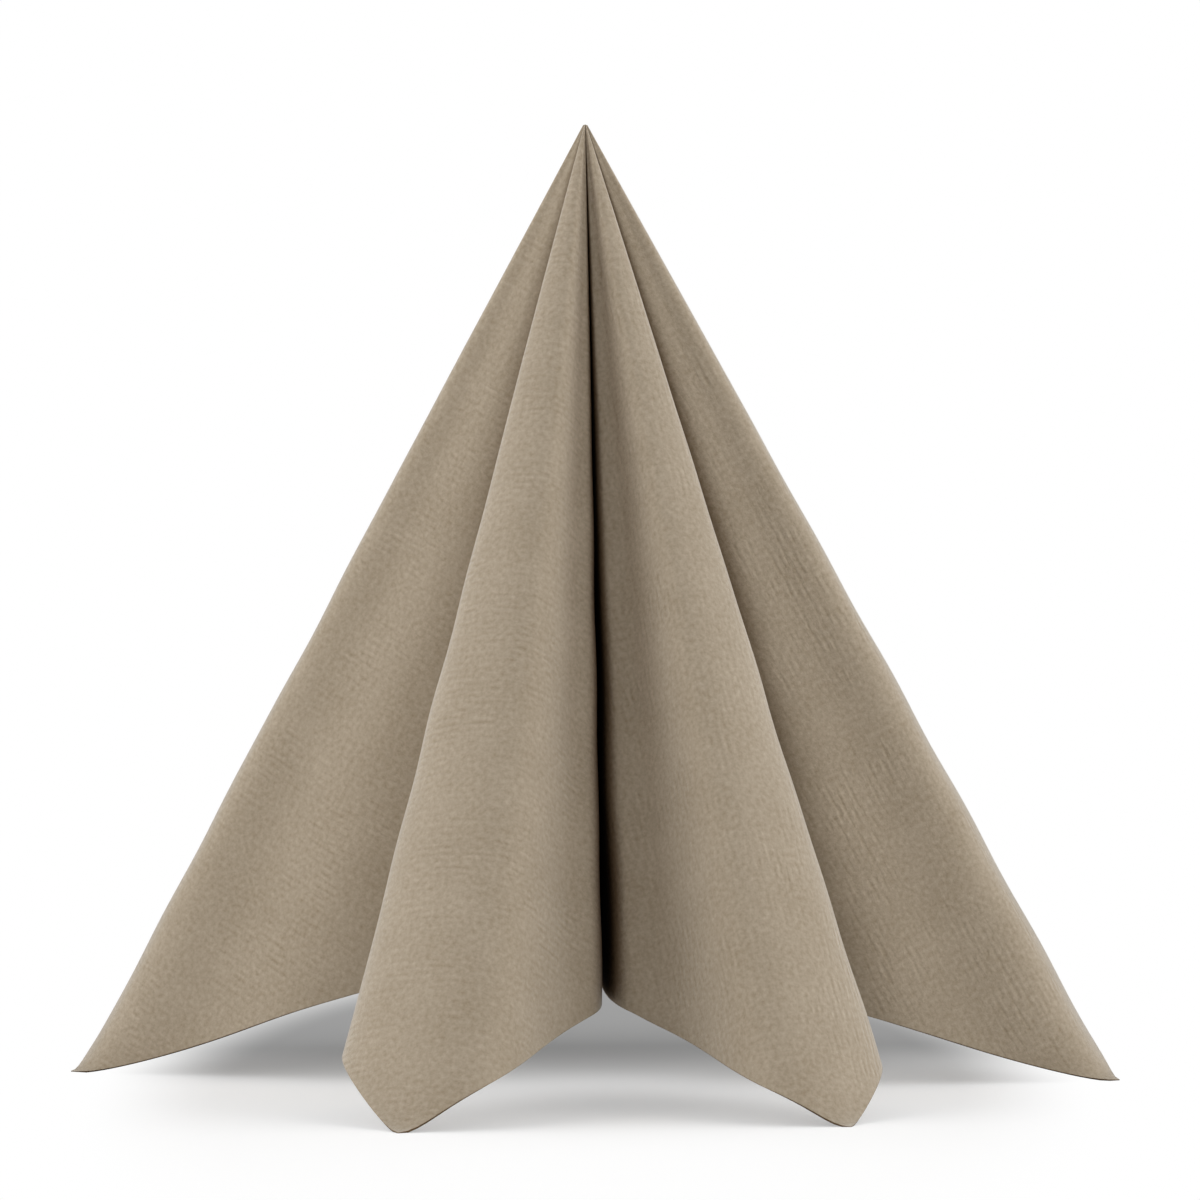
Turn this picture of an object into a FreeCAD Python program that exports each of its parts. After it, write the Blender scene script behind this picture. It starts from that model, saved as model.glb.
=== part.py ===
"""Square paper napkin folded through its centre into a standing peak with four hollow lobes.

Millimetres, +Z up. The front of the fold faces -Y and its right side +X. The origin is on the
table, in the middle of the ground that the napkin covers.

The sheet has no stretch, so it bends only as a general cone: straight rays of paper run from the
sheet's centre, which is the peak, down to the cut edge. The four sheet corners are the feet. A
quarter of the sheet, 90 degrees of paper, lies between one corner ray and the next, and dips
into a valley on its way.
"""
import FreeCAD
import Part
import math
import os

# The sheet as it was cut.
SHEET_SIDE = 400.0
SHEET_THICKNESS = 0.5

# How steeply the four corner rays stand, from the upright.
CORNER_TILT = 28.2

# Which way each corner ray points on the table, in degrees from the front, + towards the right.
LEFT_AZIMUTH = -96.0
FRONT_LEFT_AZIMUTH = -19.5
FRONT_RIGHT_AZIMUTH = 27.0
RIGHT_AZIMUTH = 80.5

# Which way the bottom of each valley lies from the upright below the peak, in degrees as above.
LEFT_VALLEY_AZIMUTH = -161.0
MIDDLE_VALLEY_AZIMUTH = -172.0
RIGHT_VALLEY_AZIMUTH = 160.0
BACK_VALLEY_AZIMUTH = 178.0

# A sheet corner is pressed up and outwards where it lies on the table.
CORNER_PRESS = 4.0
CORNER_SPREAD = 2.4
FOOT_FLAT = 0.12

# Near the peak the layers are squeezed: full thickness starts this far below the peak, the
# hollow starts a little below it, and the very tip is blunt.
SQUEEZE_DEPTH = 60.0
HOLLOW_DEPTH = 5.0
BLUNT_DEPTH = 1.2

# The section of the fold, seen from above, as rays of paper. Each pair gives the turn from the
# lobe's own corner ray, in degrees, and the reach, where the corner ray's reach is 1. Walls run
# from the valley on a lobe's left to its corner ray, and on to the valley on its right.
LEFT_LOBE_BACK = [(-64.0, 0.86), (-45.0, 1.03), (-27.0, 1.09), (-10.0, 1.04)]
LEFT_LOBE_FRONT = [(5.0, 0.83), (16.0, 0.63), (26.0, 0.43), (16.0, 0.24)]
FRONT_LEFT_LOBE_OUTER = [(-70.0, 0.16), (-17.0, 0.33), (-15.0, 0.57), (-14.5, 0.79), (-11.5, 0.93)]
FRONT_LEFT_LOBE_INNER = [(8.5, 0.97), (16.0, 0.75), (20.0, 0.70), (21.5, 0.63), (19.0, 0.49), (-3.5, 0.10)]
FRONT_RIGHT_LOBE_INNER = [(-37.0, 0.095), (-24.5, 0.485), (-22.5, 0.62), (-19.5, 0.68), (-14.0, 0.71),
                          (-7.0, 0.97)]
FRONT_RIGHT_LOBE_OUTER = [(9.5, 0.94), (12.5, 0.78), (14.0, 0.52), (17.0, 0.30), (62.0, 0.19)]
RIGHT_LOBE_FRONT = [(1.5, 0.26), (-14.0, 0.42), (-14.5, 0.65), (-6.0, 0.83)]
RIGHT_LOBE_BACK = [(16.5, 1.02), (32.0, 1.09), (51.0, 1.04), (69.0, 0.88)]

# The three front valleys are narrow slots with a round bottom, and the back one is open. The half
# width and the length of the round part are in the same measure as the reach.
SLOT_HALF_WIDTH = 0.015
SLOT_ROUND_LENGTH = 0.013

# Where each valley's reach is first tried.
FRONT_VALLEY_FIRST_REACH = 0.5
BACK_VALLEY_FIRST_REACH = 0.6

PAPER_PER_LOBE = math.radians(90.0)
STEPS_PER_SPAN = 6
MEASURE_STEPS = 12
VALLEY_ROUNDS = 60
VALLEY_GAIN = 0.8
VALLEY_CLOSE_ENOUGH = 1.0e-7


class Lobe:
    """One lobe: its corner ray, the rays before and after it, and the valley that follows."""

    def __init__(self, azimuth, before, after, valley_azimuth, narrow):
        self.azimuth = azimuth
        self.before = before
        self.after = after
        self.valley_azimuth = valley_azimuth
        self.narrow = narrow
        self.valley_reach = FRONT_VALLEY_FIRST_REACH if narrow else BACK_VALLEY_FIRST_REACH

    def rays(self):
        """The lobe's rays from its first to its valley's last, as (kind, point)."""
        rows = [("wall", plan_point(self.azimuth + turn, reach)) for turn, reach in self.before]
        rows.append(("corner", plan_point(self.azimuth, 1.0)))
        rows += [("wall", plan_point(self.azimuth + turn, reach)) for turn, reach in self.after]
        bottom = ("valley", plan_point(self.valley_azimuth, self.valley_reach))
        if not self.narrow:
            return rows + [bottom]
        shoulder = plan_point(self.valley_azimuth, self.valley_reach - SLOT_ROUND_LENGTH)
        aside = plan_point(self.valley_azimuth + 90.0, SLOT_HALF_WIDTH)
        aside.z = 0.0
        return rows + [("wall", shoulder + aside), bottom, ("wall", shoulder - aside)]

    def deepen(self, missing):
        """Take up missing paper: a narrow valley reaches further out, an open one further in."""
        self.valley_reach += VALLEY_GAIN * missing * (1.0 if self.narrow else -1.0)


def folded_lobes():
    """The four lobes in order, from the left one round the front to the right one."""
    return [
        Lobe(LEFT_AZIMUTH, LEFT_LOBE_BACK, LEFT_LOBE_FRONT, LEFT_VALLEY_AZIMUTH, True),
        Lobe(FRONT_LEFT_AZIMUTH, FRONT_LEFT_LOBE_OUTER, FRONT_LEFT_LOBE_INNER,
             MIDDLE_VALLEY_AZIMUTH, True),
        Lobe(FRONT_RIGHT_AZIMUTH, FRONT_RIGHT_LOBE_INNER, FRONT_RIGHT_LOBE_OUTER,
             RIGHT_VALLEY_AZIMUTH, True),
        Lobe(RIGHT_AZIMUTH, RIGHT_LOBE_FRONT, RIGHT_LOBE_BACK, BACK_VALLEY_AZIMUTH, False),
    ]


def plan_point(azimuth, reach):
    """A ray's place in the plane one unit below the peak."""
    angle = math.radians(azimuth)
    out = reach * math.tan(math.radians(CORNER_TILT))
    return FreeCAD.Vector(out * math.sin(angle), -out * math.cos(angle), -1.0)


def section_curve(rays):
    """A smooth closed curve through the rays, with the parameter at each ray."""
    points = [point for kind, point in rays]
    knots = [0.0]
    for here, there in zip(points, points[1:] + points[:1]):
        knots.append(knots[-1] + math.sqrt((there - here).Length))
    curve = Part.BSplineCurve()
    curve.interpolate(Points=points, PeriodicFlag=True, Parameters=knots)
    return curve, knots


def paper_angle(curve, start, end, steps):
    """The angle of paper between two parameters, added up over short steps."""
    total = 0.0
    ray = curve.value(start)
    for step in range(1, steps + 1):
        next_ray = curve.value(start + (end - start) * step / steps)
        total += ray.getAngle(next_ray)
        ray = next_ray
    return total


def settle_valleys(lobes):
    """Move each valley until the paper from corner ray to corner ray is a quarter of the sheet."""
    for _ in range(VALLEY_ROUNDS):
        rays = [ray for lobe in lobes for ray in lobe.rays()]
        curve, knots = section_curve(rays)
        spans = [paper_angle(curve, a, b, MEASURE_STEPS) for a, b in zip(knots, knots[1:])]
        corners = [index for index, ray in enumerate(rays) if ray[0] == "corner"]
        worst = 0.0
        for lobe, first, last in zip(lobes, corners, corners[1:] + [corners[0] + len(rays)]):
            paper = sum(spans[index % len(rays)] for index in range(first, last))
            missing = PAPER_PER_LOBE - paper
            lobe.deepen(missing)
            worst = max(worst, abs(missing))
        if worst < VALLEY_CLOSE_ENOUGH:
            break
    return rays, curve, knots, corners


def ray_samples(rays, curve, knots, corners):
    """Rays round the fold as (unit ray, outward normal, length to the cut edge), corner ray first."""
    count = len(rays)
    samples = []
    since_corner = 0.0
    for index in list(range(corners[0], count)) + list(range(corners[0])):
        if index in corners:
            since_corner = 0.0
        low, high = knots[index], knots[index + 1]
        for step in range(STEPS_PER_SPAN):
            start = low + (high - low) * step / STEPS_PER_SPAN
            end = low + (high - low) * (step + 1) / STEPS_PER_SPAN
            samples.append(sheet_sample(curve, start, since_corner))
            since_corner += paper_angle(curve, start, end, MEASURE_STEPS)
    return samples


def sheet_sample(curve, parameter, since_corner):
    """One ray, the sheet's outward normal along it, and its length from peak to cut edge."""
    ray = curve.value(parameter)
    normal = ray.cross(curve.tangent(parameter)[0]).normalize()
    from_edge_middle = since_corner - PAPER_PER_LOBE / 2.0
    length = SHEET_SIDE / 2.0 / math.cos(from_edge_middle)
    return ray.normalize(), normal, length


def corner_height():
    """How far the corner rays would reach below the peak if the table didn't press them."""
    return SHEET_SIDE / math.sqrt(2.0) * math.cos(math.radians(CORNER_TILT))


def edge_point(ray, normal, length, side):
    """A point of the cut edge on one face, with the sheet's corners pressed on the table."""
    middle = ray * length
    above_corner = middle.z + corner_height()
    press = math.exp(-above_corner / CORNER_PRESS)
    outward = FreeCAD.Vector(middle.x, middle.y, 0.0).normalize()
    pressed = middle + FreeCAD.Vector(0.0, 0.0, CORNER_PRESS * press) + outward * CORNER_SPREAD * press
    point = pressed + normal * (side * SHEET_THICKNESS / 2.0)
    point.z = max(point.z, table_height())
    return point


def level_point(ray, normal, depth, side):
    """A point at one depth below the peak, on one face of the sheet, squeezed near the peak."""
    half = side * SHEET_THICKNESS / 2.0 * min(1.0, depth / SQUEEZE_DEPTH)
    offset = normal * half
    return offset + ray * ((-depth - offset.z) / ray.z)


def strip(first, second):
    """Flat facets between two rings of points, two for each step round."""
    facets = []
    for index in range(len(first)):
        a, b = first[index - 1], first[index]
        c, d = second[index], second[index - 1]
        facets.append((a, b, c))
        facets.append((a, c, d))
    return facets


def flat_face(points):
    """The flat face inside a closed ring of points."""
    return Part.Face(Part.makePolygon(list(points) + [points[0]]))


def folded_sheet():
    """The whole napkin as one closed solid, peak at the local origin."""
    samples = ray_samples(*settle_valleys(folded_lobes()))
    facets = []
    ends = []
    rims = []
    for side, first in ((1.0, BLUNT_DEPTH), (-1.0, HOLLOW_DEPTH)):
        top = [level_point(ray, normal, first, side) for ray, normal, _ in samples]
        full = [level_point(ray, normal, SQUEEZE_DEPTH, side) for ray, normal, _ in samples]
        rim = [edge_point(*sample, side) for sample in samples]
        facets += strip(top, full) + strip(full, rim)
        ends.append(top)
        rims.append(rim)
    facets += strip(rims[0], rims[1])
    faces = [flat_face(facet) for facet in facets] + [flat_face(end) for end in ends]
    shell = Part.makeShell(faces)
    shell.sewShape()
    solid = Part.Solid(shell)
    if solid.Volume < 0.0:
        solid.reverse()
    return solid


def table_height():
    """Where the table is, with the peak at the origin: the tips rest on it with small flats."""
    return CORNER_PRESS - corner_height() + FOOT_FLAT


def centre_on_table(solid):
    """Put the origin on the table, in the middle of the ground that the napkin covers."""
    box = solid.optimalBoundingBox(False)
    across = (box.XMin + box.XMax) / 2.0
    along = (box.YMin + box.YMax) / 2.0
    solid.translate(FreeCAD.Vector(-across, -along, -table_height()))
    return solid


def main():
    """Build the napkin and write its one solid."""
    os.makedirs("parts", exist_ok=True)
    sheet = centre_on_table(folded_sheet())
    print("valid", sheet.isValid(), "volume mm3", round(sheet.Volume, 1), "faces", len(sheet.Faces))
    box = sheet.optimalBoundingBox(False)
    print("box", [round(value, 2) for value in (box.XMin, box.YMin, box.ZMin, box.XMax, box.YMax, box.ZMax)])
    sheet.exportStep("parts/napkin_sheet.step")


main()
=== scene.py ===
"""Looks of a square paper napkin, folded through its centre into a standing peak.

The sheet has no stretch, so it bends only as a general cone: straight rays of paper run from the
peak to the cut edge. The section of that cone, one unit below the peak, is a smooth closed curve.
The script rebuilds the sheet from that curve as one fine mesh, gives it the flat sheet's own
coordinates, and dresses it as embossed airlaid paper. Lengths are in metres unless a name ends
in _mm, and angles are in degrees.
"""

import logging
import math
from dataclasses import dataclass, field
from enum import Enum

import bpy
import numpy as np
from mathutils import Matrix, Vector


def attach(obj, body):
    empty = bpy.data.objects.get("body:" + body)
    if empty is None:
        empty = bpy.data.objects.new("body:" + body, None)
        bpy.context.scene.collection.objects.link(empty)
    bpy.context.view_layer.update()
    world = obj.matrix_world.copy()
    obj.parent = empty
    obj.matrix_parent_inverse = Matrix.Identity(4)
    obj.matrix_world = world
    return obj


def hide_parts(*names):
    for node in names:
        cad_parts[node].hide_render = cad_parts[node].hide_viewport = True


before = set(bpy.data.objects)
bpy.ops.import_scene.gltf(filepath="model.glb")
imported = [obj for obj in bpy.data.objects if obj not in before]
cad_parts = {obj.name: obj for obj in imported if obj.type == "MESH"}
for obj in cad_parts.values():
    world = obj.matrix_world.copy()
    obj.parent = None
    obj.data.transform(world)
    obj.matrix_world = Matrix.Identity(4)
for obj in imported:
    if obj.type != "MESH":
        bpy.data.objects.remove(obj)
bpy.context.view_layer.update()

LOG = logging.getLogger("napkin")
SHEET_NODE = "napkin_sheet"
BODY = "root"
MM = 0.001


class RayKind(Enum):
    """What a ray of paper is to the fold."""

    WALL = "wall"
    CORNER = "corner"
    VALLEY = "valley"


def linear(code: str) -> tuple[float, float, float, float]:
    """Turn an sRGB hex colour into linear RGBA.

    Args:
        code: Six hex digits, with or without a leading hash.

    Returns:
        Linear red, green and blue, and an alpha of one.
    """
    digits = code.lstrip("#")
    shares = [int(digits[index:index + 2], 16) / 255.0 for index in (0, 2, 4)]
    bent = [share / 12.92 if share <= 0.04045 else ((share + 0.055) / 1.055) ** 2.4 for share in shares]
    return (bent[0], bent[1], bent[2], 1.0)


def add_node(
    tree: bpy.types.NodeTree,
    kind: str,
    settings: dict[str, object] | None = None,
    **inputs: object,
) -> bpy.types.Node:
    """Add one shader node with its settings, values and links.

    Args:
        tree: The node tree that the node goes into.
        kind: The node's Blender type name.
        settings: The node's own properties, by name.
        **inputs: Values or sockets for the inputs, by name with _ for a space, or i0, i1 by number.

    Returns:
        The new node.
    """
    node = tree.nodes.new(kind)
    for name, value in (settings or {}).items():
        setattr(node, name, value)
    for name, value in inputs.items():
        by_number = name[0] == "i" and name[1:].isdigit()
        socket = node.inputs[int(name[1:])] if by_number else node.inputs[name.replace("_", " ")]
        if isinstance(value, bpy.types.NodeSocket):
            tree.links.new(value, socket)
        else:
            socket.default_value = value
    return node


def smooth_step(low: float, high: float, value: np.ndarray) -> np.ndarray:
    """Rise from 0 at low to 1 at high as 3t squared less 2t cubed."""
    share = np.clip((value - low) / (high - low), 0.0, 1.0)
    return share * share * (3.0 - 2.0 * share)


@dataclass
class Lobe:
    """One lobe's rays, each as (turn from its corner ray, reach), and the valley after it."""

    azimuth: float
    before: list[tuple[float, float]]
    after: list[tuple[float, float]]
    valley_azimuth: float
    valley_reach: float
    narrow: bool


@dataclass
class ConeSection:
    """The fold's section at unit depth, solved so that each quarter of the sheet is 90 degrees."""

    corner_tilt: float
    slot_half_width: float
    slot_round_length: float
    lobes: list[Lobe]
    steps_per_span: int = 12
    rounds: int = 60
    gain: float = 0.8
    close_enough: float = 1.0e-7

    def plan(self, azimuth: float, reach: float) -> np.ndarray:
        """A ray's place in the plane one unit below the peak, azimuth 0 at the front."""
        out = reach * math.tan(math.radians(self.corner_tilt))
        turn = math.radians(azimuth)
        return np.array([out * math.sin(turn), -out * math.cos(turn)])

    def control_rays(self) -> tuple[np.ndarray, list[RayKind]]:
        """Every ray that the section passes through, in order, with its kind."""
        points: list[np.ndarray] = []
        kinds: list[RayKind] = []
        for lobe in self.lobes:
            walls = [self.plan(lobe.azimuth + turn, reach) for turn, reach in lobe.before]
            points += walls + [self.plan(lobe.azimuth, 1.0)]
            kinds += [RayKind.WALL] * len(walls) + [RayKind.CORNER]
            walls = [self.plan(lobe.azimuth + turn, reach) for turn, reach in lobe.after]
            points += walls
            kinds += [RayKind.WALL] * len(walls)
            bottom = self.plan(lobe.valley_azimuth, lobe.valley_reach)
            if lobe.narrow:
                shoulder = self.plan(lobe.valley_azimuth, lobe.valley_reach - self.slot_round_length)
                aside = self.plan(lobe.valley_azimuth + 90.0, self.slot_half_width)
                points += [shoulder + aside, bottom, shoulder - aside]
                kinds += [RayKind.WALL, RayKind.VALLEY, RayKind.WALL]
            else:
                points.append(bottom)
                kinds.append(RayKind.VALLEY)
        return np.array(points), kinds

    def closed_curve(self, points: np.ndarray) -> np.ndarray:
        """Sample the closed cubic spline through the points.

        Each span's parameter length is the square root of its chord. Second derivatives M solve
        the cyclic system h1 M0 + 2(h1 + h2) M1 + h2 M2 = 6 (slope after less slope before).

        Args:
            points: The places that the curve passes through, one row each.

        Returns:
            steps_per_span places from each point up to the next, one row each.
        """
        count = len(points)
        ahead = np.roll(points, -1, axis=0)
        span = np.sqrt(np.linalg.norm(ahead - points, axis=1))
        span_before = np.roll(span, 1)
        slope = (ahead - points) / span[:, None]
        rows = np.arange(count)
        system = np.zeros((count, count))
        system[rows, (rows - 1) % count] = span_before
        system[rows, rows] = 2.0 * (span_before + span)
        system[rows, (rows + 1) % count] = span
        bend = np.linalg.solve(system, 6.0 * (slope - np.roll(slope, 1, axis=0)))
        bend_ahead = np.roll(bend, -1, axis=0)
        share = (np.arange(self.steps_per_span) / self.steps_per_span)[None, :, None]
        h = span[:, None, None]
        done = share * h
        left = h - done
        cubic = (bend[:, None, :] * left ** 3 + bend_ahead[:, None, :] * done ** 3) / (6.0 * h)
        line = (points[:, None, :] / h - bend[:, None, :] * h / 6.0) * left
        line = line + (ahead[:, None, :] / h - bend_ahead[:, None, :] * h / 6.0) * done
        return (cubic + line).reshape(-1, 2)

    def paper_steps(self, curve: np.ndarray) -> np.ndarray:
        """The angle of paper from each sample to the next, in radians."""
        rays = unit_rays(curve)
        return 2.0 * np.arcsin(np.linalg.norm(np.roll(rays, -1, axis=0) - rays, axis=1) / 2.0)

    def solve(self) -> tuple[np.ndarray, np.ndarray]:
        """Move each valley until a quarter of the sheet lies from corner ray to corner ray.

        Returns:
            The section's samples and each one's paper angle from the first corner ray, in radians.
        """
        quarter = math.pi / 2.0
        for _ in range(self.rounds):
            points, kinds = self.control_rays()
            curve = self.closed_curve(points)
            paper = np.concatenate([[0.0], np.cumsum(self.paper_steps(curve))])
            corners = [i * self.steps_per_span for i, kind in enumerate(kinds) if kind is RayKind.CORNER]
            starts = paper[corners]
            missing = quarter - np.diff(np.append(starts, paper[-1] + starts[0]))
            for lobe, short in zip(self.lobes, missing):
                lobe.valley_reach += self.gain * float(short) * (1.0 if lobe.narrow else -1.0)
            if np.abs(missing).max() < self.close_enough:
                break
        return curve, (paper[:-1] - starts[0]) % (2.0 * math.pi)


def unit_rays(curve: np.ndarray) -> np.ndarray:
    """Unit vectors from the peak through the section's samples, one row each."""
    rays = np.hstack([curve, -np.ones((len(curve), 1))])
    return rays / np.linalg.norm(rays, axis=1)[:, None]


@dataclass(frozen=True)
class AirlaidPaper:
    """Airlaid napkin paper: short fluffed fibres bonded dry, embossed with a fine linen rib.

    The eye gets a dull greige sheet with no shine. Broken ribs run across it both ways, along the
    sheet's diagonals, and a fine mottle shows where the fibres lie thicker. Deep in a fold, where
    ambient occlusion finds close paper, shade is painted in: the colour turns brown, then nearly
    black, and the sheen fades.
    """

    name: str = "airlaid_paper_greige"
    base: str = "#9b8e7b"
    pale: str = "#ab9d8a"
    deep: str = "#8b7c66"
    # painted shade in folds: the colours and occlusion limits that darken hidden paper
    painted_crease_shade_black: str = "#20160d"
    painted_crease_shade_brown: str = "#a08b72"
    painted_crease_shade_reach: float = 0.032
    painted_crease_shade_closed: float = 0.06
    painted_crease_shade_narrow: float = 0.34
    painted_crease_shade_open: float = 0.70
    rib_pitch_mm: float = 1.85
    rib_height_mm: float = 0.12
    rib_length_mm: float = 5.0
    rib_wander_mm: float = 0.5
    rib_shade: float = 0.09
    patch_mm: float = 22.0
    fibre_mm: float = 0.55
    fibre_height_mm: float = 0.10
    mottle_mm: float = 1.3
    cloud_mm: float = 14.0
    cloud_share: float = 0.2
    roughness: float = 0.95
    sheen: float = 0.7

    def ribs(
        self, tree: bpy.types.NodeTree, place: bpy.types.NodeSocket, turn: float
    ) -> bpy.types.NodeSocket:
        """Broken ribs across one diagonal of the sheet.

        Args:
            tree: The material's nodes.
            place: The flat sheet's coordinates, in millimetres.
            turn: Which way the ribs are counted, in degrees from the first corner ray.

        Returns:
            A height from -1 to 1.
        """
        turned = add_node(tree, "ShaderNodeMapping", {"vector_type": "POINT"}, Vector=place,
                          Rotation=(0.0, 0.0, -math.radians(turn)))
        wander = add_node(tree, "ShaderNodeTexNoise", {}, Vector=turned.outputs["Vector"],
                          Scale=1.0 / self.rib_length_mm, Detail=2.0, Roughness=0.6)
        split = add_node(tree, "ShaderNodeSeparateXYZ", {}, Vector=turned.outputs["Vector"])
        shift = add_node(tree, "ShaderNodeMath", {"operation": "MULTIPLY_ADD"},
                         i0=wander.outputs["Fac"], i1=self.rib_wander_mm * 2.0, i2=split.outputs["X"])
        wave = add_node(tree, "ShaderNodeMath", {"operation": "MULTIPLY"},
                        i0=shift.outputs[0], i1=2.0 * math.pi / self.rib_pitch_mm)
        sine = add_node(tree, "ShaderNodeMath", {"operation": "SINE"}, i0=wave.outputs[0])
        long = add_node(tree, "ShaderNodeMapping", {"vector_type": "POINT"}, Vector=turned.outputs["Vector"],
                        Scale=(1.0 / self.rib_pitch_mm, 1.0 / self.rib_length_mm, 1.0))
        gaps = add_node(tree, "ShaderNodeTexNoise", {}, Vector=long.outputs["Vector"],
                        Scale=1.0, Detail=2.0, Roughness=0.5)
        strength = add_node(tree, "ShaderNodeMapRange", {"interpolation_type": "SMOOTHSTEP"},
                            Value=gaps.outputs["Fac"], From_Min=0.40, From_Max=0.62, To_Min=0.08, To_Max=1.0)
        height = add_node(tree, "ShaderNodeMath", {"operation": "MULTIPLY"},
                          i0=sine.outputs[0], i1=strength.outputs["Result"])
        return height.outputs[0]

    def rib_side(self, tree: bpy.types.NodeTree, flat: bpy.types.NodeSocket) -> bpy.types.NodeSocket:
        """Which of the two rib directions shows: 1 in the two front lobes, 0 in the side lobes.

        Args:
            tree: The material's nodes.
            flat: The flat sheet's coordinates, centred on the peak.

        Returns:
            A share from 0 to 1.
        """
        split = add_node(tree, "ShaderNodeSeparateXYZ", {}, Vector=flat)
        more = add_node(tree, "ShaderNodeMath", {"operation": "SUBTRACT"},
                        i0=split.outputs["Y"], i1=split.outputs["X"])
        return add_node(tree, "ShaderNodeMapRange", {"interpolation_type": "SMOOTHSTEP"},
                        Value=more.outputs[0], From_Min=-0.05, From_Max=0.05, To_Min=0.1, To_Max=0.9
                        ).outputs["Result"]

    def rib_height(
        self, tree: bpy.types.NodeTree, flat: bpy.types.NodeSocket, spot: bpy.types.NodeSocket
    ) -> bpy.types.NodeSocket:
        """The ribs of both directions, strong in some patches of the sheet and faint in others.

        Args:
            tree: The material's nodes.
            flat: The flat sheet's coordinates, centred on the peak.
            spot: The same place in millimetres.

        Returns:
            A height from -1 to 1.
        """
        both = add_node(tree, "ShaderNodeMix", {"data_type": "FLOAT"}, i0=self.rib_side(tree, flat),
                        i2=self.ribs(tree, spot, 0.0), i3=self.ribs(tree, spot, 90.0))
        patch = add_node(tree, "ShaderNodeTexNoise", {}, Vector=spot,
                         Scale=1.0 / self.patch_mm, Detail=3.0, Roughness=0.6)
        shown = add_node(tree, "ShaderNodeMapRange", {"interpolation_type": "SMOOTHSTEP"},
                         Value=patch.outputs["Fac"], From_Min=0.42, From_Max=0.66, To_Min=0.15, To_Max=1.0)
        return add_node(tree, "ShaderNodeMath", {"operation": "MULTIPLY"},
                        i0=both.outputs[0], i1=shown.outputs["Result"]).outputs[0]

    def relief(
        self, tree: bpy.types.NodeTree, spot: bpy.types.NodeSocket, rib: bpy.types.NodeSocket
    ) -> bpy.types.NodeSocket:
        """The surface normal with the ribs and the loose fibres raised on it.

        Args:
            tree: The material's nodes.
            spot: The flat sheet's coordinates, in millimetres.
            rib: The ribs' height from -1 to 1.

        Returns:
            The bumped normal.
        """
        fibre = add_node(tree, "ShaderNodeTexNoise", {}, Vector=spot,
                         Scale=1.0 / self.fibre_mm, Detail=4.0, Roughness=0.6)
        rib_part = add_node(tree, "ShaderNodeMath", {"operation": "MULTIPLY"},
                            i0=rib, i1=self.rib_height_mm * MM / 2.0)
        height = add_node(tree, "ShaderNodeMath", {"operation": "MULTIPLY_ADD"},
                          i0=fibre.outputs["Fac"], i1=self.fibre_height_mm * MM, i2=rib_part.outputs[0])
        return add_node(tree, "ShaderNodeBump", {}, Height=height.outputs[0],
                        Distance=1.0, Strength=1.0).outputs["Normal"]

    def tone(
        self, tree: bpy.types.NodeTree, spot: bpy.types.NodeSocket, rib: bpy.types.NodeSocket
    ) -> bpy.types.NodeSocket:
        """The open paper's colour: a fine mottle with slow clouds, a little paler on the ribs.

        Args:
            tree: The material's nodes.
            spot: The flat sheet's coordinates, in millimetres.
            rib: The ribs' height from -1 to 1.

        Returns:
            The colour.
        """
        mottle = add_node(tree, "ShaderNodeTexNoise", {}, Vector=spot,
                          Scale=1.0 / self.mottle_mm, Detail=4.0, Roughness=0.65)
        cloud = add_node(tree, "ShaderNodeTexNoise", {}, Vector=spot,
                         Scale=1.0 / self.cloud_mm, Detail=2.0, Roughness=0.5)
        spread = add_node(tree, "ShaderNodeMix", {"data_type": "FLOAT"}, i0=self.cloud_share,
                          i2=mottle.outputs["Fac"], i3=cloud.outputs["Fac"])
        shade = add_node(tree, "ShaderNodeMath", {"operation": "MULTIPLY_ADD"},
                         i0=rib, i1=self.rib_shade, i2=spread.outputs[0])
        tone = add_node(tree, "ShaderNodeValToRGB", {}, Fac=shade.outputs[0])
        ramp = tone.color_ramp
        ramp.elements[0].position = 0.28
        ramp.elements[0].color = linear(self.deep)
        ramp.elements[1].position = 0.72
        ramp.elements[1].color = linear(self.pale)
        middle = ramp.elements.new(0.5)
        middle.color = linear(self.base)
        return tone.outputs["Color"]

    def painted_crease_shade(self, tree: bpy.types.NodeTree, hidden: bpy.types.NodeSocket) -> bpy.types.NodeSocket:
        """The painted shade of a fold: white where it is open, then brown, then nearly black where it
        closes.

        Args:
            tree: The material's nodes.
            hidden: How open the place is, from 0 to 1.

        Returns:
            The colour that the paper's own is multiplied by.
        """
        painted_crease_shade = add_node(tree, "ShaderNodeValToRGB", {}, Fac=hidden)
        depth = painted_crease_shade.color_ramp
        depth.elements[0].position = self.painted_crease_shade_closed
        depth.elements[0].color = linear(self.painted_crease_shade_black)
        depth.elements[1].position = self.painted_crease_shade_open
        depth.elements[1].color = (1.0, 1.0, 1.0, 1.0)
        narrow = depth.elements.new(self.painted_crease_shade_narrow)
        narrow.color = linear(self.painted_crease_shade_brown)
        return painted_crease_shade.outputs["Color"]

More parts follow.
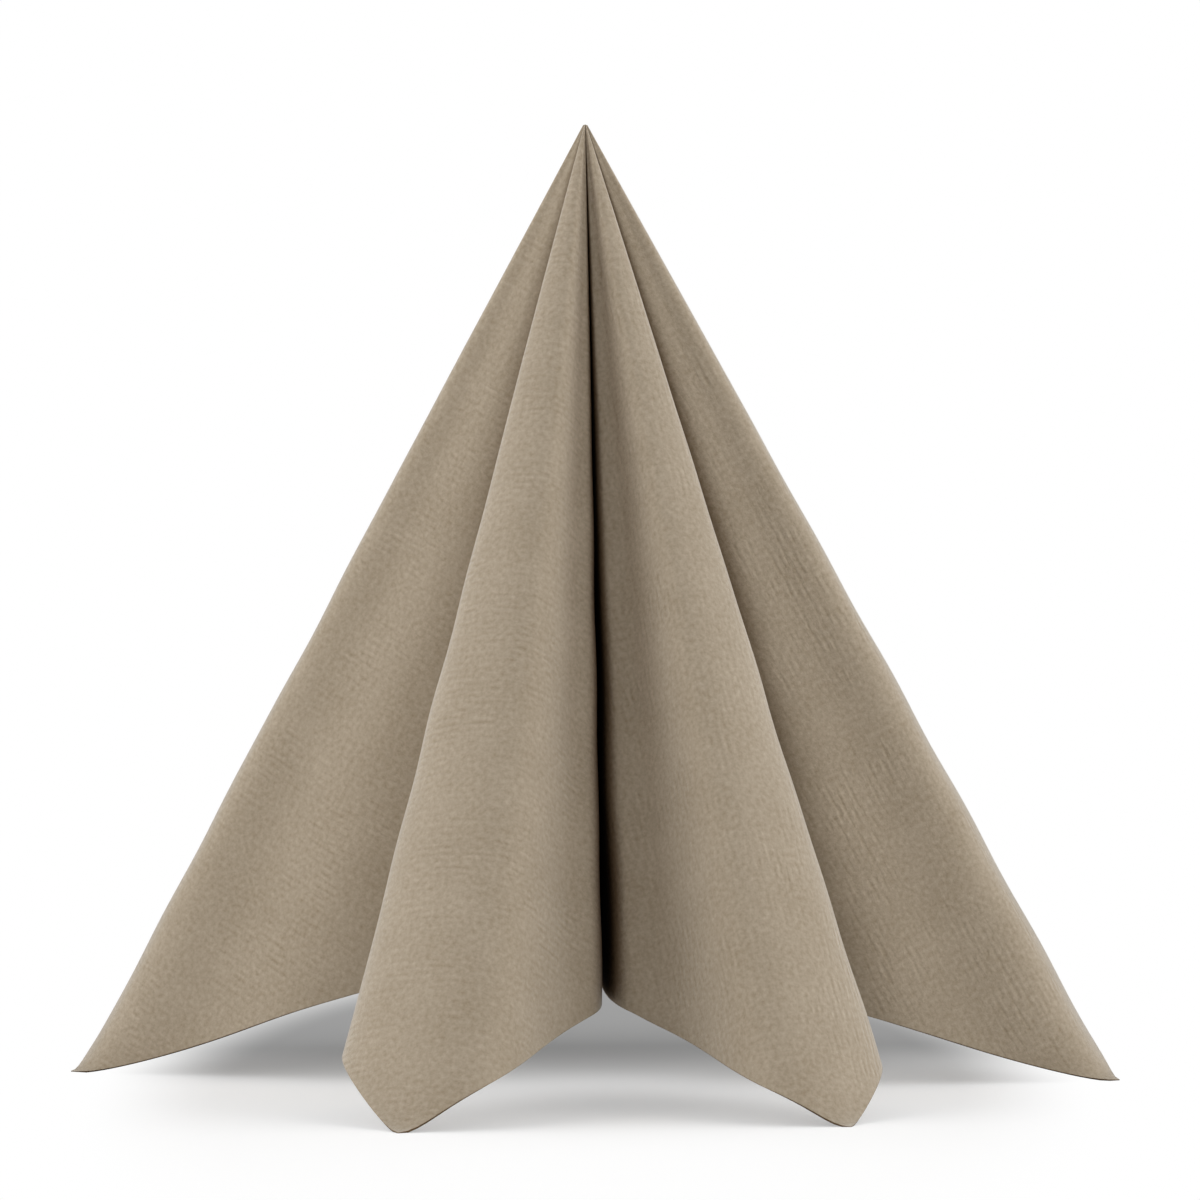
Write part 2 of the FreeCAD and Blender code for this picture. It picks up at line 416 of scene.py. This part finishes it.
    def material(self) -> bpy.types.Material:
        """Build the paper's node material on the flat sheet's coordinates."""
        made = bpy.data.materials.new(self.name)
        made.use_nodes = True
        tree = made.node_tree
        tree.nodes.clear()
        flat = add_node(tree, "ShaderNodeUVMap", {"uv_map": SheetMesh.UV_NAME}).outputs["UV"]
        spot = add_node(tree, "ShaderNodeVectorMath", {"operation": "MULTIPLY"},
                        i0=flat, i1=(SheetMesh.UV_SPAN_MM,) * 3).outputs["Vector"]
        rib = self.rib_height(tree, flat, spot)
        # painted shade: ambient occlusion measures how hidden each place is in a fold
        hidden = add_node(tree, "ShaderNodeAmbientOcclusion", {"samples": 8},
                          Distance=self.painted_crease_shade_reach).outputs["AO"]
        # painted shade: the paper's colour is multiplied toward brown, then nearly black, in folds
        colour = add_node(tree, "ShaderNodeMix", {"data_type": "RGBA", "blend_type": "MULTIPLY"}, i0=1.0,
                          i6=self.tone(tree, spot, rib), i7=self.painted_crease_shade(tree, hidden))
        # painted shade: the sheen fades where ambient occlusion finds a fold
        open_share = add_node(tree, "ShaderNodeMapRange", {}, Value=hidden,
                              From_Min=self.painted_crease_shade_narrow, From_Max=self.painted_crease_shade_open)
        sheen_dimmed_by_painted_shade = add_node(tree, "ShaderNodeMath", {"operation": "MULTIPLY"},
                         i0=open_share.outputs["Result"], i1=self.sheen)
        paper = add_node(tree, "ShaderNodeBsdfPrincipled", {}, Base_Color=colour.outputs[2],
                         Roughness=self.roughness, Sheen_Weight=sheen_dimmed_by_painted_shade.outputs[0], Sheen_Roughness=0.4,
                         Specular_IOR_Level=0.1, Normal=self.relief(tree, spot, rib))
        add_node(tree, "ShaderNodeOutputMaterial", {}, Surface=paper.outputs["BSDF"])
        return made


@dataclass
class SheetMesh:
    """The folded sheet as one fine closed mesh."""

    UV_NAME = "flat_sheet"
    UV_SPAN_MM = 400.0

    section: ConeSection
    side_mm: float = 400.0
    thickness_mm: float = 0.5
    squeeze_depth_mm: float = 60.0
    corner_press_mm: float = 4.0
    corner_spread_mm: float = 2.4
    foot_flat_mm: float = 0.12
    tip_mm: float = 1.2
    rows: int = 72
    row_bias: float = 1.5
    wave_mm: float = 0.35
    wave_length_mm: float = 55.0
    peak: Vector = field(default_factory=lambda: Vector((0.0, 0.0, 0.0)))

    def middle_surface(self) -> tuple[np.ndarray, np.ndarray]:
        """The sheet's middle surface with the peak at the origin, in millimetres.

        A place is its unit ray times the length along it. The length runs from the blunt tip to
        the cut edge, which lies half a side over the cosine of the paper angle from the ray to
        the middle of its own sheet edge. Near the table the sheet's corners are pressed up and
        outwards by press times e to the minus height over press.

        Returns:
            Places as rows by columns by 3, and flat sheet places as rows by columns by 2.
        """
        curve, paper = self.section.solve()
        rays = unit_rays(curve)
        quarter = math.pi / 2.0
        from_edge_middle = paper % quarter - quarter / 2.0
        edge = self.side_mm / 2.0 / np.cos(from_edge_middle)
        share = 1.0 - (1.0 - np.linspace(0.0, 1.0, self.rows)) ** self.row_bias
        length = self.tip_mm + share[:, None] * (edge[None, :] - self.tip_mm)
        places = rays[None, :, :] * length[:, :, None]
        flat = np.stack([length * np.cos(paper)[None, :], length * np.sin(paper)[None, :]], axis=2)
        corner_drop = self.side_mm / math.sqrt(2.0) * math.cos(math.radians(self.section.corner_tilt))
        press = np.exp(-(places[:, :, 2] + corner_drop) / self.corner_press_mm)
        outward = places[:, :, :2] / np.linalg.norm(places[:, :, :2], axis=2)[:, :, None]
        places[:, :, 2] += self.corner_press_mm * press
        places[:, :, :2] += self.corner_spread_mm * press[:, :, None] * outward
        return places, flat

    def normals(self, places: np.ndarray) -> np.ndarray:
        """Outward unit normals of the grid: the way down the ray crossed with the way round."""
        down = np.gradient(places, axis=0)
        around = np.roll(places, -1, axis=1) - np.roll(places, 1, axis=1)
        normal = np.cross(down, around)
        return normal / np.linalg.norm(normal, axis=2)[:, :, None]

    def waves(self, places: np.ndarray, flat: np.ndarray) -> np.ndarray:
        """Slight hand-made undulation of the sheet: a few crossed sine waves, none at the peak."""
        turn = 2.0 * math.pi / self.wave_length_mm
        x, y = flat[:, :, 0], flat[:, :, 1]
        wave = np.sin(turn * (x + 0.3 * y)) + np.sin(turn * 1.37 * (0.4 * x - y) + 1.0)
        wave += 0.6 * np.sin(turn * 2.1 * (0.8 * x + 0.7 * y) + 2.2)
        depth = -places[:, :, 2]
        return self.wave_mm / 2.6 * wave * smooth_step(40.0, 160.0, depth)

    def build(self) -> bpy.types.Object:
        """Make the sheet: an outer and an inner face, a rim between them, and closed tips."""
        places, flat = self.middle_surface()
        normal = self.normals(places)
        places = places + normal * self.waves(places, flat)[:, :, None]
        normal = self.normals(places)
        thick = np.clip(-places[:, :, 2] / self.squeeze_depth_mm, 0.0, 1.0) * self.thickness_mm / 2.0
        lift = -self.peak_drop()
        faces_mm = []
        for side in (1.0, -1.0):
            face = places + normal * (side * thick)[:, :, None]
            face[:, :, 2] = np.maximum(face[:, :, 2], lift)
            faces_mm.append(face)
        rows, columns = places.shape[:2]
        tips = np.array([[0.0, 0.0, -self.tip_mm * 0.7], [0.0, 0.0, -self.tip_mm * 1.5]])
        points = np.vstack([faces_mm[0].reshape(-1, 3), faces_mm[1].reshape(-1, 3), tips]) * MM
        points += np.array(self.peak)[None, :]
        flat_all = np.vstack([flat.reshape(-1, 2), flat.reshape(-1, 2), np.zeros((2, 2))])
        count = rows * columns
        index = np.arange(count).reshape(rows, columns)
        ahead = np.roll(index, -1, axis=1)
        outer = np.stack([index[:-1], index[1:], ahead[1:], ahead[:-1]], axis=2).reshape(-1, 4)
        inner = np.stack([index[:-1], ahead[:-1], ahead[1:], index[1:]], axis=2).reshape(-1, 4) + count
        rim = np.stack([index[-1], index[-1] + count, ahead[-1] + count, ahead[-1]], axis=1)
        outer_tip = np.stack([np.full(columns, 2 * count), index[0], ahead[0]], axis=1)
        inner_tip = np.stack([np.full(columns, 2 * count + 1), ahead[0] + count, index[0] + count], axis=1)
        quads = np.vstack([outer, inner, rim])
        corners = np.concatenate([quads.ravel(), outer_tip.ravel(), inner_tip.ravel()])
        sizes = np.concatenate([np.full(len(quads), 4), np.full(2 * columns, 3)])
        mesh = bpy.data.meshes.new("folded_napkin")
        mesh.vertices.add(len(points))
        mesh.vertices.foreach_set("co", points.ravel())
        mesh.loops.add(len(corners))
        mesh.loops.foreach_set("vertex_index", corners.astype(np.int32))
        mesh.polygons.add(len(sizes))
        starts = np.concatenate([[0], np.cumsum(sizes)[:-1]])
        mesh.polygons.foreach_set("loop_start", starts.astype(np.int32))
        mesh.update(calc_edges=True)
        layer = mesh.uv_layers.new(name=self.UV_NAME)
        layer.uv.foreach_set("vector", (flat_all[corners] / self.UV_SPAN_MM).ravel())
        mesh.validate()
        smooth = np.ones(len(mesh.polygons), dtype=bool)
        smooth[2 * (rows - 1) * columns:len(quads)] = False
        mesh.polygons.foreach_set("use_smooth", smooth)
        piece = bpy.data.objects.new("folded_napkin", mesh)
        bpy.context.scene.collection.objects.link(piece)
        return piece

    def peak_drop(self) -> float:
        """How far the table lies below the ideal peak, in millimetres."""
        return self.peak.z / MM


@dataclass
class Napkin:
    """The whole napkin: one folded sheet, dressed in its paper."""

    sheet: SheetMesh
    paper: AirlaidPaper

    def make(self) -> bpy.types.Object:
        """Build the sheet, dress it and tell the frame what it is."""
        piece = self.sheet.build()
        piece.data.materials.append(self.paper.material())
        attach(piece, BODY)
        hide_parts(SHEET_NODE)
        return piece


@dataclass(frozen=True)
class StudioWhite:
    """Matt white studio board that fades into the white background away from the object.

    The camera sees its shadows lifted by a white glow, which is painted light, and a soft grey shade painted
    on the ground behind the fold.
    """

    name: str = "matt_white_board"
    colour: str = "#fbfbfb"
    # lift: painted light, the least share of white glow that the camera sees on the board
    lift: float = 0.35
    reach_across: float = 0.13
    reach_along: float = 0.40
    fade_start: float = 0.70
    fade_end: float = 0.98
    # painted shade on the ground behind the fold: where it starts and ends, and how deep it goes
    shade_start: float = -0.01
    shade_end: float = 0.10
    shade_depth: float = 0.64

    def fade(self, tree: bpy.types.NodeTree, place: bpy.types.NodeSocket) -> bpy.types.NodeSocket:
        """How far a place on the board has faded into white, from 0 to 1."""
        shrunk = add_node(tree, "ShaderNodeVectorMath", {"operation": "MULTIPLY"}, i0=place,
                          i1=(1.0 / self.reach_across, 1.0 / self.reach_along, 0.0))
        out = add_node(tree, "ShaderNodeVectorMath", {"operation": "LENGTH"}, i0=shrunk.outputs["Vector"])
        return add_node(tree, "ShaderNodeMapRange", {"interpolation_type": "SMOOTHSTEP"},
                        Value=out.outputs["Value"], From_Min=self.fade_start, From_Max=self.fade_end
                        ).outputs["Result"]

    def material(self) -> bpy.types.Material:
        """Build the board: diffuse for all other light, and blended with white for the camera."""
        made = bpy.data.materials.new(self.name)
        made.use_nodes = True
        tree = made.node_tree
        tree.nodes.clear()
        place = add_node(tree, "ShaderNodeTexCoord").outputs["Object"]
        split = add_node(tree, "ShaderNodeSeparateXYZ", {}, Vector=place)
        faded = self.fade(tree, place)
        kept = add_node(tree, "ShaderNodeMath", {"operation": "SUBTRACT"}, i0=1.0, i1=faded)
        # painted shade: the board's colour and glow darken behind the fold, less where it fades to white
        behind = add_node(tree, "ShaderNodeMapRange", {"interpolation_type": "SMOOTHSTEP"},
                          Value=split.outputs["Y"], From_Min=self.shade_start, From_Max=self.shade_end,
                          To_Max=self.shade_depth)
        shade = add_node(tree, "ShaderNodeMath", {"operation": "MULTIPLY"},
                         i0=behind.outputs["Result"], i1=kept.outputs[0])
        level = add_node(tree, "ShaderNodeMath", {"operation": "SUBTRACT"}, i0=1.0, i1=shade.outputs[0])
        path = add_node(tree, "ShaderNodeLightPath")
        # painted light: to the camera the board glows white, at least by lift, which lifts its shadows
        white_share = add_node(tree, "ShaderNodeMapRange", {}, Value=faded, To_Min=self.lift, To_Max=1.0)
        seen = add_node(tree, "ShaderNodeMath", {"operation": "MULTIPLY"},
                        i0=white_share.outputs["Result"], i1=path.outputs["Is Camera Ray"])
        board_tone = add_node(tree, "ShaderNodeVectorMath", {"operation": "SCALE"},
                              i0=linear(self.colour)[:3], Scale=level.outputs[0])
        board = add_node(tree, "ShaderNodeBsdfDiffuse", {}, Color=board_tone.outputs["Vector"])
        white = add_node(tree, "ShaderNodeEmission", {}, Color=(1.0, 1.0, 1.0, 1.0),
                         Strength=level.outputs[0])
        mixed = add_node(tree, "ShaderNodeMixShader", {}, i0=seen.outputs[0],
                         i1=board.outputs["BSDF"], i2=white.outputs["Emission"])
        add_node(tree, "ShaderNodeOutputMaterial", {}, Surface=mixed.outputs["Shader"])
        return made


@dataclass
class Studio:
    """Table top, surrounding white light, two soft side lamps and the camera."""

    peak: Vector
    table_half: float = 4.0
    front_strength: float = 0.32
    side_strength: float = 1.95
    side_start: float = 0.2
    side_back: float = 0.05
    side_lamp_power: float = 8.0
    side_lamp_size: float = 1.2
    side_lamp_out: float = 1.3
    side_lamp_up: float = 0.45
    side_lamp_front: float = 0.3
    camera_distance: float = 1.5
    camera_pitch: float = 1.45
    camera_roll: float = -0.356
    target_right: float = 0.00304
    target_height: float = 0.12221
    lens_mm: float = 175.0
    sensor_mm: float = 36.0

    def table(self) -> bpy.types.Object:
        """The pale table top that the napkin stands on."""
        mesh = bpy.data.meshes.new("table_top")
        half = self.table_half
        corners = [(-half, -half, 0.0), (half, -half, 0.0), (half, half, 0.0), (-half, half, 0.0)]
        mesh.from_pydata(corners, [], [(0, 1, 2, 3)])
        mesh.materials.append(StudioWhite().material())
        table = bpy.data.objects.new("table_top", mesh)
        bpy.context.scene.collection.objects.link(table)
        return table

    def world(self) -> None:
        """White surroundings: full white to the camera, and brightest from the sides to the rest."""
        world = bpy.data.worlds.new("white_surround")
        world.use_nodes = True
        tree = world.node_tree
        tree.nodes.clear()
        way = add_node(tree, "ShaderNodeTexCoord").outputs["Generated"]
        split = add_node(tree, "ShaderNodeSeparateXYZ", {}, Vector=way)
        aside = add_node(tree, "ShaderNodeMath", {"operation": "ABSOLUTE"}, i0=split.outputs["X"])
        behind = add_node(tree, "ShaderNodeMath", {"operation": "MULTIPLY_ADD"},
                          i0=split.outputs["Y"], i1=self.side_back, i2=aside.outputs[0])
        soft = add_node(tree, "ShaderNodeMapRange", {"interpolation_type": "SMOOTHSTEP"},
                        Value=behind.outputs[0], From_Min=self.side_start,
                        To_Min=self.front_strength, To_Max=self.side_strength)
        path = add_node(tree, "ShaderNodeLightPath")
        level = add_node(tree, "ShaderNodeMix", {"data_type": "FLOAT"}, i0=path.outputs["Is Camera Ray"],
                         i2=soft.outputs["Result"], i3=1.0)
        sky = add_node(tree, "ShaderNodeBackground", {}, Color=(1.0, 1.0, 1.0, 1.0),
                       Strength=level.outputs[0])
        add_node(tree, "ShaderNodeOutputWorld", {}, Surface=sky.outputs["Background"])
        bpy.context.scene.world = world

    def lamp(self, name: str, place: Vector, power: float, size: float) -> None:
        """Add one square soft lamp that faces the middle of the napkin."""
        light = bpy.data.lights.new(name, "AREA")
        light.energy = power
        light.size = size
        lamp = bpy.data.objects.new(name, light)
        lamp.location = place
        aim = Vector((0.0, 0.0, self.target_height)) - place
        lamp.rotation_mode = "QUATERNION"
        lamp.rotation_quaternion = aim.to_track_quat("-Z", "Y")
        bpy.context.scene.collection.objects.link(lamp)

    def camera(self) -> None:
        """A long lens level with the napkin, tipped down a little, as in the photograph."""
        data = bpy.data.cameras.new("camera")
        data.lens = self.lens_mm
        data.sensor_width = self.sensor_mm
        camera = bpy.data.objects.new("camera", data)
        pitch = math.radians(self.camera_pitch)
        target = Vector((self.peak.x + self.target_right, self.peak.y, self.target_height))
        back = Vector((0.0, -math.cos(pitch), math.sin(pitch)))
        aim = (-back).to_track_quat("-Z", "Y").to_matrix()
        roll = Matrix.Rotation(math.radians(self.camera_roll), 3, "Z")
        camera.rotation_mode = "QUATERNION"
        camera.rotation_quaternion = (aim @ roll).to_quaternion()
        camera.location = target + back * self.camera_distance
        bpy.context.scene.collection.objects.link(camera)
        bpy.context.scene.camera = camera

    def make(self) -> None:
        """Build everything round the napkin."""
        self.table()
        self.world()
        for name, side in (("lamp_left", -1.0), ("lamp_right", 1.0)):
            place = Vector((side * self.side_lamp_out, -self.side_lamp_front, self.side_lamp_up))
            self.lamp(name, place, self.side_lamp_power, self.side_lamp_size)
        self.camera()


def folded_lobes() -> list[Lobe]:
    """The four lobes in order, from the left one round the front to the right one."""
    return [
        Lobe(-96.0, [(-64.0, 0.86), (-45.0, 1.03), (-27.0, 1.09), (-10.0, 1.04)],
             [(5.0, 0.83), (16.0, 0.63), (26.0, 0.43), (16.0, 0.24)], -161.0, 0.5, True),
        Lobe(-19.5, [(-70.0, 0.16), (-17.0, 0.33), (-15.0, 0.57), (-14.5, 0.79), (-11.5, 0.93)],
             [(8.5, 0.97), (16.0, 0.75), (20.0, 0.70), (21.5, 0.63), (19.0, 0.49), (-3.5, 0.10)],
             -172.0, 0.5, True),
        Lobe(27.0, [(-37.0, 0.095), (-24.5, 0.485), (-22.5, 0.62), (-19.5, 0.68), (-14.0, 0.71),
                    (-7.0, 0.97)],
             [(9.5, 0.94), (12.5, 0.78), (14.0, 0.52), (17.0, 0.30), (62.0, 0.19)], 160.0, 0.5, True),
        Lobe(80.5, [(1.5, 0.26), (-14.0, 0.42), (-14.5, 0.65), (-6.0, 0.83)],
             [(16.5, 1.02), (32.0, 1.09), (51.0, 1.04), (69.0, 0.88)], 178.0, 0.6, False),
    ]


def packed_peak(blunt: float) -> Vector:
    """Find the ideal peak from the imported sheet: the middle of its blunt tip, and a little higher.

    Args:
        blunt: How far the ideal peak lies above the blunt tip, in metres.

    Returns:
        The peak's place.
    """
    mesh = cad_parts[SHEET_NODE].data
    points = np.empty(3 * len(mesh.vertices))
    mesh.vertices.foreach_get("co", points)
    points = points.reshape(-1, 3)
    tip = points[points[:, 2] > points[:, 2].max() - blunt / 10.0]
    middle = (tip.min(axis=0) + tip.max(axis=0)) / 2.0
    return Vector((float(middle[0]), float(middle[1]), float(middle[2]) + blunt))


def main() -> None:
    """Build the napkin and its studio, and report each piece."""
    logging.basicConfig(level=logging.INFO, format="%(name)s: %(message)s")
    bpy.context.scene.view_settings.view_transform = "Standard"
    section = ConeSection(28.2, 0.015, 0.013, folded_lobes())
    sheet = SheetMesh(section)
    sheet.peak = packed_peak(sheet.tip_mm * MM)
    LOG.info("peak at %s", [round(value, 5) for value in sheet.peak])
    Studio(sheet.peak).make()
    piece = Napkin(sheet, AirlaidPaper()).make()
    LOG.info("%s: %d faces", piece.name, len(piece.data.polygons))


if __name__ == "__main__":
    main()
